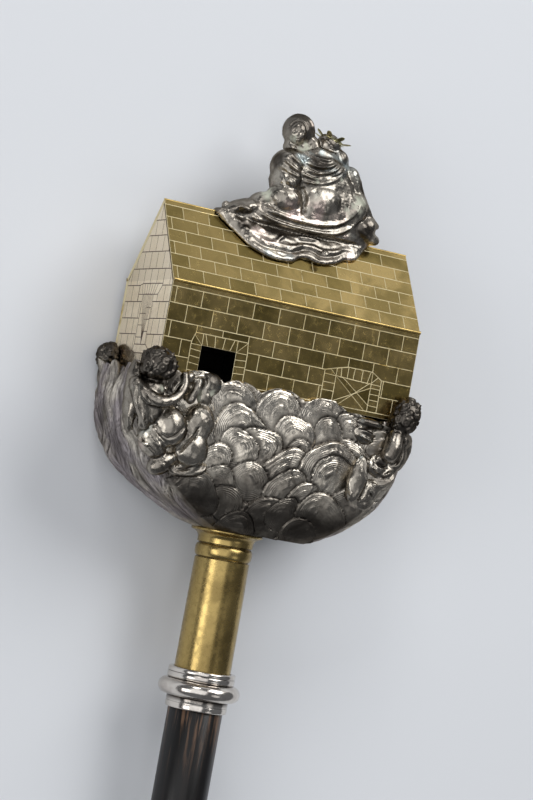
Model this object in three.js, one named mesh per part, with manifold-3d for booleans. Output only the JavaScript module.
// Processional staff, lying on its back: a brass house in a silver cloud basin with corner angels, a silver
// figure astride the ridge, a brass socket tube, a silver ring collar and a long ebonised pole.
// Everything is modelled upright about the staff's axis: x runs along the house, y goes to the back, z goes
// up the staff, and z = 0 is where the basin meets the socket tube's flange. The last group lays it down.
import * as THREE from 'three';
import { mergeVertices } from 'three/addons/utils/BufferGeometryUtils.js';
import Module from 'manifold-3d';

const wasm = await Module();
wasm.setup();

// Driving dimensions in millimetres
const GAP = 0.3;
const ROUND = 24;
const RING_STEPS = 8;

const FERRULE = { bottom: -995, top: -935, radius: 13.8, beadRadius: 14.8, wall: 1.1, chamfer: 1.2 };
const POLE = {
  radius: 13.3, buttRadius: 12.4, bottom: FERRULE.bottom + 1.4, taper: 400, shoulder: -73.5,
  tenonRadius: 11.6, top: -12,
};
const COLLAR = {
  bottom: -87.2, top: -68, bore: 14.1, lowRadius: 14.9, highRadius: 16.2,
  ringCentre: -77.5, ringRadius: 15.8, ringSection: 4.0,
};
const TUBE = { bottom: -73, bore: 12.0, lowRadius: 13.7, highRadius: 13.3, flangeRadius: 17.4, flangeThick: 1.5 };

const HOUSE = {
  centreX: 3.4, length: 133, width: 56.8, floor: 66, eave: 110.5, ridge: 149.4,
  sheet: 1.2, gableSheet: 1.2, gableInset: 0.5,
};
const DOOR = { left: -43.2, right: -25.2, head: 83 };

const BOWL = {
  height: 71, wall: 1.5, centreLow: 10.5, centreHigh: 2.4, centreSettle: 3.5,
  halfLengthLow: 28, halfLengthHigh: 72.8, halfDepthLow: 19, halfDepthHigh: 30.6,
  cornerLow: 17, cornerHigh: 9.5, fill: 3.5, round: 84, rings: 9,
};
const PUFF = { height: 2.4, count: 20, width: 20, radius: 13, rows: 4, rimScallop: 2.6 };
const RIM = {
  dip: 8, dipAt: 0.91, dipWidth: 0.05, lobe: 9, lobeLeftAt: 0.42, lobeRightAt: 0.08, lobeWidth: 0.022,
};

const FLOOR = { headDepth: 32.6, headAt: 45, buttDepth: FERRULE.beadRadius - 0.12, buttAt: FERRULE.bottom + 5 };

const silver = { color: 0x77716c, roughness: 0.32, metalness: 1.0 };
const paleSilver = { color: 0xb9b2a8, roughness: 0.22, metalness: 1.0 };
const giltBrass = { color: 0xb8974f, roughness: 0.28, metalness: 1.0 };
const ebonised = { color: 0x100d0c, roughness: 0.25, metalness: 0.0 };

// Solids from geometries, and back
function solidOf(geometry) {
  const bare = geometry.clone();
  bare.deleteAttribute('normal');
  bare.deleteAttribute('uv');
  const merged = mergeVertices(bare, 1e-4);
  const index = merged.index.array;
  const triangles = [];
  for (let i = 0; i < index.length; i += 3) {
    const [a, b, c] = [index[i], index[i + 1], index[i + 2]];
    if (a !== b && b !== c && c !== a) triangles.push(a, b, c);
  }
  return new wasm.Manifold(new wasm.Mesh({
    numProp: 3,
    vertProperties: new Float32Array(merged.attributes.position.array),
    triVerts: new Uint32Array(triangles),
  }));
}

function geometryOf(solid) {
  const mesh = solid.getMesh();
  const geometry = new THREE.BufferGeometry();
  geometry.setAttribute('position', new THREE.BufferAttribute(new Float32Array(mesh.vertProperties), 3));
  geometry.setIndex(new THREE.BufferAttribute(new Uint32Array(mesh.triVerts), 1));
  return geometry;
}

function joined(solids) {
  return solids.reduce((whole, next) => whole.add(next));
}

function piece(name, solid, finish) {
  const geometry = geometryOf(solid);
  geometry.computeVertexNormals();
  const mesh = new THREE.Mesh(geometry, new THREE.MeshStandardMaterial(finish));
  mesh.name = name;
  return mesh;
}

// Every vertex of a geometry moved by a function of its place
function shaped(geometry, move) {
  const position = geometry.attributes.position;
  const point = new THREE.Vector3();
  for (let i = 0; i < position.count; i += 1) {
    point.fromBufferAttribute(position, i);
    move(point);
    position.setXYZ(i, point.x, point.y, point.z);
  }
  return geometry;
}

// A turned piece from its outline in [radius, height] pairs, listed up the staff and closed on itself
function turned(outline, segments = ROUND) {
  const points = outline.map(([radius, height]) => new THREE.Vector2(radius, height));
  return new THREE.LatheGeometry(points, segments).rotateX(Math.PI / 2);
}

// A rounded mass: centre, half sizes and turns in degrees
function mass(centre, half, turn = [0, 0, 0], detail = 9) {
  const [rx, ry, rz] = turn.map(THREE.MathUtils.degToRad);
  return new THREE.SphereGeometry(1, detail, Math.round(detail * 0.6))
    .rotateX(Math.PI / 2)
    .scale(...half)
    .applyMatrix4(new THREE.Matrix4().makeRotationFromEuler(new THREE.Euler(rx, ry, rz)))
    .translate(...centre);
}

// A limb through a row of points, with its radius going from the first to the last value
function limb(points, radiusStart, radiusEnd) {
  const curve = new THREE.CatmullRomCurve3(points.map((p) => new THREE.Vector3(...p)));
  const balls = [];
  const steps = points.length;
  for (let i = 0; i <= steps; i += 1) {
    const t = i / steps;
    const centre = curve.getPoint(t);
    const radius = THREE.MathUtils.lerp(radiusStart, radiusEnd, t);
    balls.push(solidOf(mass(centre.toArray(), [radius, radius, radius * 1.2], [0, 0, 0], 7)));
  }
  return joined(balls);
}

// The pole, its ferrule, the collar and the tube
function makePole() {
  return solidOf(turned([
    [0, POLE.bottom], [POLE.buttRadius, POLE.bottom], [POLE.radius, POLE.bottom + POLE.taper],
    [POLE.radius, POLE.shoulder], [POLE.tenonRadius, POLE.shoulder + 0.2],
    [POLE.tenonRadius, POLE.top - 1], [POLE.tenonRadius - 1, POLE.top], [0, POLE.top],
  ]));
}

function makeFerrule() {
  const { bottom, top, radius, beadRadius, wall, chamfer } = FERRULE;
  const bore = radius - wall + GAP / 2;
  return solidOf(turned([
    [0, bottom], [beadRadius - chamfer, bottom], [beadRadius, bottom + chamfer], [beadRadius, bottom + 9],
    [radius, bottom + 11], [radius, top - 8], [beadRadius, top - 6], [beadRadius, top - 2], [radius, top],
    [bore, top], [bore, POLE.bottom - GAP], [0, POLE.bottom - GAP],
  ]));
}

function makeCollar() {
  const { bottom, top, bore, lowRadius, highRadius, ringCentre, ringRadius, ringSection } = COLLAR;
  const ring = [];
  for (let i = 0; i <= RING_STEPS; i += 1) {
    const angle = -Math.PI / 2 + (Math.PI * i) / RING_STEPS;
    ring.push([ringRadius + ringSection * Math.cos(angle), ringCentre + ringSection * Math.sin(angle)]);
  }
  return solidOf(turned([
    [bore, bottom], [lowRadius - 0.4, bottom], [lowRadius, bottom + 0.5], [lowRadius, ringCentre - ringSection],
    ...ring, [highRadius, ringCentre + ringSection + 0.3], [highRadius, top - 0.5], [highRadius - 0.5, top],
    [bore, top], [bore, bottom],
  ]));
}

function makeTube() {
  const { bottom, bore, lowRadius, highRadius, flangeRadius, flangeThick } = TUBE;
  return solidOf(turned([
    [bore, bottom], [lowRadius, bottom], [highRadius, -14.4], [highRadius - 0.6, -14.0], [highRadius + 0.2, -13.4],
    [highRadius + 0.5, -10.8], [highRadius + 0.2, -8.2], [highRadius - 0.6, -7.6], [highRadius + 0.2, -7.1],
    [highRadius + 0.3, -4.4], [highRadius + 1.2, -3.0], [highRadius + 2.9, -flangeThick - 0.2],
    [flangeRadius, -flangeThick], [flangeRadius, -GAP], [0, -GAP], [0, -6], [bore, -6], [bore, bottom],
  ]));
}

// The house: one bent sheet for walls and roof, and two gable plates set into its ends
function houseOutline(inset, floor) {
  const half = HOUSE.width / 2 - inset;
  const slope = Math.atan2(HOUSE.ridge - HOUSE.eave, HOUSE.width / 2);
  const eave = HOUSE.eave - inset * Math.tan(slope / 2);
  const ridge = HOUSE.ridge - inset / Math.cos(slope);
  return [[-half, floor], [half, floor], [half, eave], [0, ridge], [-half, eave]];
}

function housePrism(outline, from, to) {
  const shape = new THREE.Shape(outline.map(([y, z]) => new THREE.Vector2(y, z)));
  const along = new THREE.Matrix4().makeBasis(
    new THREE.Vector3(0, 1, 0), new THREE.Vector3(0, 0, 1), new THREE.Vector3(1, 0, 0));
  return solidOf(new THREE.ExtrudeGeometry(shape, { depth: to - from, bevelEnabled: false })
    .applyMatrix4(along)
    .translate(from, 0, 0));
}

const houseStart = HOUSE.centreX - HOUSE.length / 2;
const houseEnd = HOUSE.centreX + HOUSE.length / 2;
const roofSlope = Math.atan2(HOUSE.ridge - HOUSE.eave, HOUSE.width / 2);

function makeHouseShell() {
  const outer = housePrism(houseOutline(0, HOUSE.floor), houseStart, houseEnd);
  const inner = housePrism(houseOutline(HOUSE.sheet, HOUSE.floor - 5), houseStart - 5, houseEnd + 5);
  const depth = 8;
  const sill = HOUSE.floor - 5;
  const door = new THREE.BoxGeometry(DOOR.right - DOOR.left, depth, DOOR.head - sill)
    .translate((DOOR.left + DOOR.right) / 2, -HOUSE.width / 2, (DOOR.head + sill) / 2);
  return outer.subtract(inner).subtract(solidOf(door));
}

function makeGable(outside, inwards) {
  const outline = houseOutline(HOUSE.sheet + GAP, HOUSE.floor);
  const face = outside + inwards * HOUSE.gableInset;
  const back = face + inwards * HOUSE.gableSheet;
  return housePrism(outline, Math.min(face, back), Math.max(face, back));
}

// The cloud basin swells from the flange to a rounded-rectangle rim; its plan at one height is this path
function basinPlan(height, inset) {
  const rise = THREE.MathUtils.clamp(height / BOWL.height, 0, 1);
  const swell = 1 - (1 - rise) ** BOWL.fill;
  const halfLength = THREE.MathUtils.lerp(BOWL.halfLengthLow, BOWL.halfLengthHigh, swell) - inset;
  const halfDepth = THREE.MathUtils.lerp(BOWL.halfDepthLow, BOWL.halfDepthHigh, swell) - inset;
  const corner = THREE.MathUtils.lerp(BOWL.cornerLow, BOWL.cornerHigh, swell) - inset;
  const [x, y] = [halfLength - corner, halfDepth - corner];
  const path = new THREE.Path();
  path.moveTo(halfLength, 0);
  path.absarc(x, y, corner, 0, Math.PI / 2);
  path.absarc(-x, y, corner, Math.PI / 2, Math.PI);
  path.absarc(-x, -y, corner, Math.PI, Math.PI * 1.5);
  path.absarc(x, -y, corner, Math.PI * 1.5, Math.PI * 2);
  path.lineTo(halfLength, 0);
  return { path, centre: BOWL.centreHigh + (BOWL.centreLow - BOWL.centreHigh) * (1 - rise) ** BOWL.centreSettle };
}

// Rows of overlapping puffs: how far the sheet stands out, at a share of the way round and a height
function puffRelief(around, height) {
  const pitch = BOWL.height / PUFF.rows;
  let relief = 0;
  for (let row = 0; row <= PUFF.rows; row += 1) {
    const shift = row % 2 === 0 ? 0.5 : 0;
    const nearest = Math.round(around * PUFF.count - shift) + shift;
    const across = ((around * PUFF.count - nearest) * PUFF.width) / PUFF.radius;
    const up = (height - row * pitch) / PUFF.radius;
    relief = Math.max(relief, PUFF.height * Math.sqrt(Math.max(0, 1 - across ** 2 - up ** 2)));
  }
  return relief * Math.min(1, height / 10);
}

// The rim: puff tops, a dip at the front right, and a high cloud lobe at each back corner
function rimHeight(around) {
  const scallop = Math.abs(Math.cos(around * PUFF.count * Math.PI));
  const near = (place, width) => Math.exp(-(((around - place) / width) ** 2));
  const dip = RIM.dip * near(RIM.dipAt, RIM.dipWidth);
  const lobes = RIM.lobe * (near(RIM.lobeLeftAt, RIM.lobeWidth) + near(RIM.lobeRightAt, RIM.lobeWidth));
  return BOWL.height - PUFF.rimScallop * (1 - scallop) - dip + lobes;
}

function basinSurface(inset, raised) {
  const outside = inset === 0;
  const round = outside ? BOWL.round : BOWL.round / 2;
  const rings = outside ? BOWL.rings : BOWL.rings / 2;
  const surface = new THREE.CylinderGeometry(1, 1, 1, round, rings).rotateX(Math.PI / 2);
  return shaped(surface, (point) => {
    const onWall = Math.hypot(point.x, point.y) > 0.5;
    const around = (Math.atan2(point.y, point.x) / (2 * Math.PI) + 1) % 1;
    const share = point.z + 0.5;
    const height = THREE.MathUtils.lerp(inset, rimHeight(around) + raised, share ** 1.4);
    const { path, centre } = basinPlan(height, inset);
    if (!onWall) {
      point.set(centre, 0, share > 0.5 ? BOWL.height + raised : inset);
      return;
    }
    const place = path.getPointAt(around);
    const along = path.getTangentAt(around);
    const relief = outside ? puffRelief(around, height) : 0;
    point.set(centre + place.x + along.y * relief, place.y - along.x * relief, height);
  });
}

// The two front angels, leaning out of the cloud at the corners with their heads against the house
function leftAngel() {
  return joined([
    solidOf(mass([-66.4, -36.5, 70.2], [8.6, 8.4, 8.7], [0, 0, 0], 12)),
    solidOf(mass([-66, -33, 55], [7.5, 7, 11])),
    solidOf(mass([-58, -34, 48], [9, 7, 11], [0, 20, 0])),
    solidOf(mass([-50.5, -35.5, 43], [8, 6.5, 7.5])),
    solidOf(mass([-39.5, -34.5, 43], [6.2, 6, 13], [0, 4, 0])),
    solidOf(mass([-57, -31, 33], [9, 6.5, 10], [0, -35, 0])),
    solidOf(mass([-42, -31.5, 28], [11, 5, 5], [0, 12, 0])),
    limb([[-68.5, -36, 58], [-63.5, -40, 54], [-57, -40, 55.5], [-52.5, -38, 61], [-51.8, -36.5, 66.5]], 3.9, 2.3),
    limb([[-47, -34, 60], [-43.5, -35, 64.5], [-41.5, -34, 67]], 2.6, 2.2),
  ]);
}

function rightAngel() {
  return joined([
    solidOf(mass([67.6, -34.2, 69.2], [7.3, 7.4, 9.3], [0, 10, 0], 12)),
    solidOf(mass([64, -30, 52], [7, 7, 10])),
    limb([[66, -34, 58], [63.5, -36, 52.5], [59.5, -36.5, 46.5]], 4.6, 3.6),
    solidOf(mass([58, -31, 41], [8.5, 6, 9.5], [0, -10, 0])),
    solidOf(mass([46.4, -33.5, 36.5], [4.8, 5, 11], [0, -6, 0])),
    solidOf(mass([55, -29.5, 29], [9, 6, 7], [0, -35, 0])),
  ]);
}

// The largest connected body, leaving out slivers that a cut parted from it
function onePiece(solid) {
  const bodies = solid.decompose();
  return bodies.reduce((best, body) => (body.volume() > best.volume() ? body : best));
}

function makeBowl() {
  const sheet = solidOf(basinSurface(0, 0));
  const hollow = solidOf(basinSurface(BOWL.wall, 4));
  const room = housePrism(houseOutline(-GAP, HOUSE.floor - GAP), houseStart - GAP, houseEnd + GAP);
  return onePiece(sheet.add(leftAngel()).add(rightAngel()).subtract(hollow).subtract(room).subtract(belowFloor()));
}

// The seated figure's mantle: sections up the body, each with its middle and half sizes, and soft folds
const MANTLE = [
  { z: 147, x: 8.5, halfX: 39, halfY: 13 }, { z: 153, x: 10, halfX: 37, halfY: 15.5 },
  { z: 160, x: 16, halfX: 33.8, halfY: 16.5 }, { z: 167, x: 17.2, halfX: 28.5, halfY: 15.5 },
  { z: 175, x: 14, halfX: 25.5, halfY: 14 }, { z: 182, x: 11.6, halfX: 22.5, halfY: 12 },
  { z: 187, x: 9, halfX: 16.5, halfY: 9 }, { z: 190, x: 4, halfX: 7, halfY: 6.5 },
];
const FOLDS = { count: 9, depth: 0.045, twist: 0.12 };

function mantle() {
  const low = MANTLE[0].z;
  const high = MANTLE[MANTLE.length - 1].z;
  return shaped(new THREE.CylinderGeometry(1, 1, 1, 28, 10).rotateX(Math.PI / 2), (point) => {
    const z = THREE.MathUtils.lerp(low, high, point.z + 0.5);
    const next = MANTLE.findIndex((section, i) => i > 0 && section.z >= z - 1e-6);
    const [a, b] = [MANTLE[next - 1], MANTLE[next]];
    const t = (z - a.z) / (b.z - a.z);
    const angle = Math.atan2(point.y, point.x);
    const fold = 1 + FOLDS.depth * Math.cos(FOLDS.count * angle + FOLDS.twist * z);
    const halfX = THREE.MathUtils.lerp(a.halfX, b.halfX, t) * fold;
    const halfY = THREE.MathUtils.lerp(a.halfY, b.halfY, t) * fold;
    point.set(THREE.MathUtils.lerp(a.x, b.x, t) + halfX * point.x, halfY * point.y, z);
  });
}

// A point on a roof slope: how far down from the ridge and how far out from the sheet, front (-1) or back (1)
function onSlope(x, down, out, side) {
  const y = side * (down * Math.cos(roofSlope) + out * Math.sin(roofSlope));
  const z = HOUSE.ridge - down * Math.sin(roofSlope) + out * Math.cos(roofSlope);
  return [x, y, z];
}

// One lobe of the cloud's hem lying on a slope
function hemLobe([x, down, halfWidth], side) {
  const lean = side * (90 - THREE.MathUtils.radToDeg(roofSlope));
  return solidOf(mass(onSlope(x, down * 0.5, 1.8, side), [halfWidth, 4.4, down * 0.5 + 1.5], [lean, 0, 0], 8));
}

const HEM = [
  [-27, 9, 8], [-18, 15, 8], [-6, 21.5, 10], [8, 17, 9], [20, 19.5, 9.5], [33, 15.5, 9], [43, 8, 7],
];
const CHILD = { head: [16.4, 0, 190.8], size: [6.0, 6.0, 6.3] };

function makeFigure() {
  const hem = [-1, 1].flatMap((side) => HEM.map((lobe) => hemLobe(lobe, side)));
  const roof = housePrism(houseOutline(-GAP, HOUSE.floor), houseStart - 20, houseEnd + 20);
  return onePiece(joined([
    solidOf(mantle()),
    ...hem,
    solidOf(mass([-21, 0, 150.5], [14, 7, 5], [0, -18, 0])),
    solidOf(mass([-9, 0, 155.5], [10, 8, 6.5], [0, -25, 0])),
    solidOf(mass([47, 0, 151.5], [6, 6.5, 6])),
    solidOf(mass([0.2, 0, 196.3], [8.9, 9.2, 9.0], [0, 0, 0], 16)),
    solidOf(mass([2.5, 0, 188], [6, 6, 6])),
    solidOf(mass(CHILD.head, CHILD.size, [0, 20, 0], 12)),
    solidOf(mass([20, 1, 184], [8.5, 7.5, 8], [0, 20, 0])),
  ]).subtract(roof));
}

// The child's crown: a band with flaring rays, tipped to the right
const CROWN = { radius: 5.4, wall: 0.9, band: 2.2, rays: 8, ray: 5.4, flare: 0.5, at: [18.2, 0, 193.8], tip: 26 };

function makeCrown() {
  const { radius, wall, band, rays, ray, flare, at, tip } = CROWN;
  const outline = [[radius - wall, 0], [radius, 0], [radius + 0.5, band], [radius + 0.5 - wall, band], [radius - wall, 0]];
  const parts = [solidOf(turned(outline, 16))];
  for (let i = 0; i < rays; i += 1) {
    parts.push(solidOf(new THREE.ConeGeometry(1.3, ray, 4)
      .rotateX(Math.PI / 2)
      .scale(0.4, 1, 1)
      .translate(0, 0, ray / 2 - 0.6)
      .rotateY(flare)
      .translate(radius, 0, band - 0.8)
      .rotateZ((2 * Math.PI * i) / rays)));
  }
  const lean = new THREE.Matrix4().makeRotationY(THREE.MathUtils.degToRad(tip)).setPosition(...at);
  const grown = (half) => half + GAP;
  const heads = joined([
    solidOf(mass(CHILD.head, CHILD.size.map(grown), [0, 20, 0], 12)),
    solidOf(mass([0.2, 0, 196.3], [8.9, 9.2, 9.0].map(grown), [0, 0, 0], 16)),
  ]);
  return onePiece(solidOf(geometryOf(joined(parts)).applyMatrix4(lean)).subtract(heads));
}

// The rivet head on the hem
const RIVET = { radius: 2.0, height: 1.2, x: 18.5, down: 16.5, out: 6.4 };

function makeRivet() {
  const { radius, height, x, down, out } = RIVET;
  const outline = [[0, 0], [radius, 0], [radius, height * 0.3], [radius * 0.7, height * 0.8], [0, height]];
  return solidOf(turned(outline, 16).rotateX(roofSlope).translate(...onSlope(x, down, out, -1)));
}

// The floor that the staff lies on, in the upright frame: a plane behind it that touches cloud and ferrule
const floorTurn = Math.atan2(FLOOR.headDepth - FLOOR.buttDepth, FLOOR.headAt - FLOOR.buttAt);
const floorDepthAtZero = FLOOR.headDepth - FLOOR.headAt * Math.tan(floorTurn);

function belowFloor() {
  const depth = 60;
  return solidOf(new THREE.BoxGeometry(400, depth, 4000)
    .translate(0, depth / 2, 0)
    .rotateX(-floorTurn)
    .translate(0, floorDepthAtZero, 0));
}

const upright = new THREE.Group();
upright.add(
  piece('pole', makePole(), ebonised),
  piece('butt_ferrule', makeFerrule().subtract(belowFloor()), giltBrass),
  piece('ring_collar', makeCollar(), paleSilver),
  piece('socket_tube', makeTube(), giltBrass),
  piece('cloud_bowl', makeBowl(), silver),
  piece('house_shell', makeHouseShell(), giltBrass),
  piece('gable_left', makeGable(houseStart, 1), giltBrass),
  piece('gable_right', makeGable(houseEnd, -1), giltBrass),
  piece('seated_figure', makeFigure(), silver),
  piece('crown', makeCrown(), giltBrass),
  piece('hem_rivet', makeRivet(), silver),
);

// Laid on its back: the staff's z goes along +X, its back goes down, and the floor plane becomes z = 0
const down = new THREE.Matrix4().makeBasis(
  new THREE.Vector3(0, -1, 0), new THREE.Vector3(0, 0, -1), new THREE.Vector3(1, 0, 0));
const lift = new THREE.Matrix4().makeTranslation(0, 0, floorDepthAtZero);
const level = new THREE.Matrix4().makeRotationY(-floorTurn);
const laid = new THREE.Group();
laid.applyMatrix4(level.multiply(lift.multiply(down)));
laid.add(upright);

// The origin is under the middle of the whole staff, on the floor
const staff = new THREE.Group();
staff.add(laid);
const middle = new THREE.Box3().setFromObject(staff, true).getCenter(new THREE.Vector3());
laid.position.x -= middle.x;
laid.position.y -= middle.y;
export default staff;
